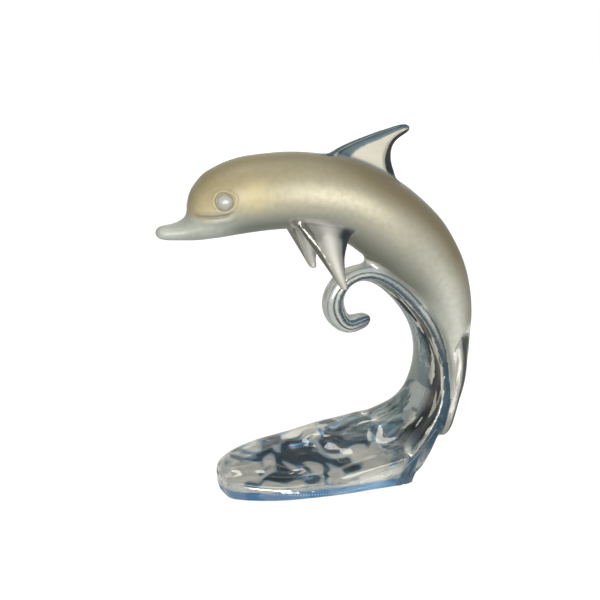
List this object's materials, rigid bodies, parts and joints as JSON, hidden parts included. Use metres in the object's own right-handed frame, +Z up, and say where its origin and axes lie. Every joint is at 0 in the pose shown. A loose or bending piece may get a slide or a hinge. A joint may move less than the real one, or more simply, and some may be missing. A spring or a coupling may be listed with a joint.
{
  "type": "dolphin sculpture",
  "caption": "Cast crystal sculpture: a satin-finished dolphin leaps over a clear curling wave that rises out of a troughed mound and stands on its flat underside.",
  "frame": {"origin": "the middle of the bounding box, on the ground under the foot", "axes": "+Z up, +X from the beak to the tail, +Y from the side with the mound's low edge to the side with its high edge"},
  "size_m": [0.1516, 0.0466, 0.1644],
  "materials": {
    "crystal": "clear polished crystal, with the dolphin's body satin frosted"
  },
  "bodies": {
    "root": {"crystal_dolphin": "crystal"}
  },
  "joints": []
}
